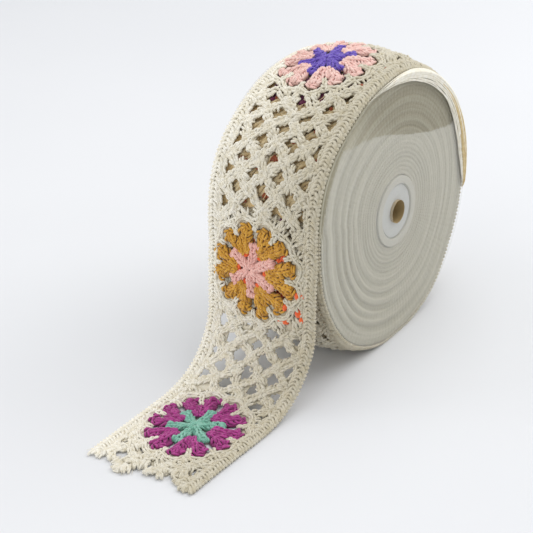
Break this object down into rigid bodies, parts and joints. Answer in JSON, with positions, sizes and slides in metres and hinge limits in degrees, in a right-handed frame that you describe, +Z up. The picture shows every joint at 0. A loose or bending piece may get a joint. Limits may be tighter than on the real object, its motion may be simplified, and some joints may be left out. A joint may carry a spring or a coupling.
{
  "type": "crochet lace trim on a reel",
  "caption": "Crochet lace trim with flower motifs and plaited selvedges, wound on a clear-sided reel with a white hub, its loose end lying out in front.",
  "frame": {"origin": "middle of the whole part's base, on the surface that it rests on", "axes": "+X along the reel's axis towards the near disc, +Z up; the loose end lies out towards -Y"},
  "size_m": [0.0984, 0.3444, 0.2097],
  "materials": {
    "lace": "matte cotton yarn",
    "hub_plastic": "satin white",
    "clear_plastic": "clear, polished"
  },
  "bodies": {
    "root": {"wound_trim": "lace", "loose_end": "lace", "reel_core": "hub_plastic", "near_disc": "clear_plastic", "far_disc": "clear_plastic"}
  },
  "joints": []
}
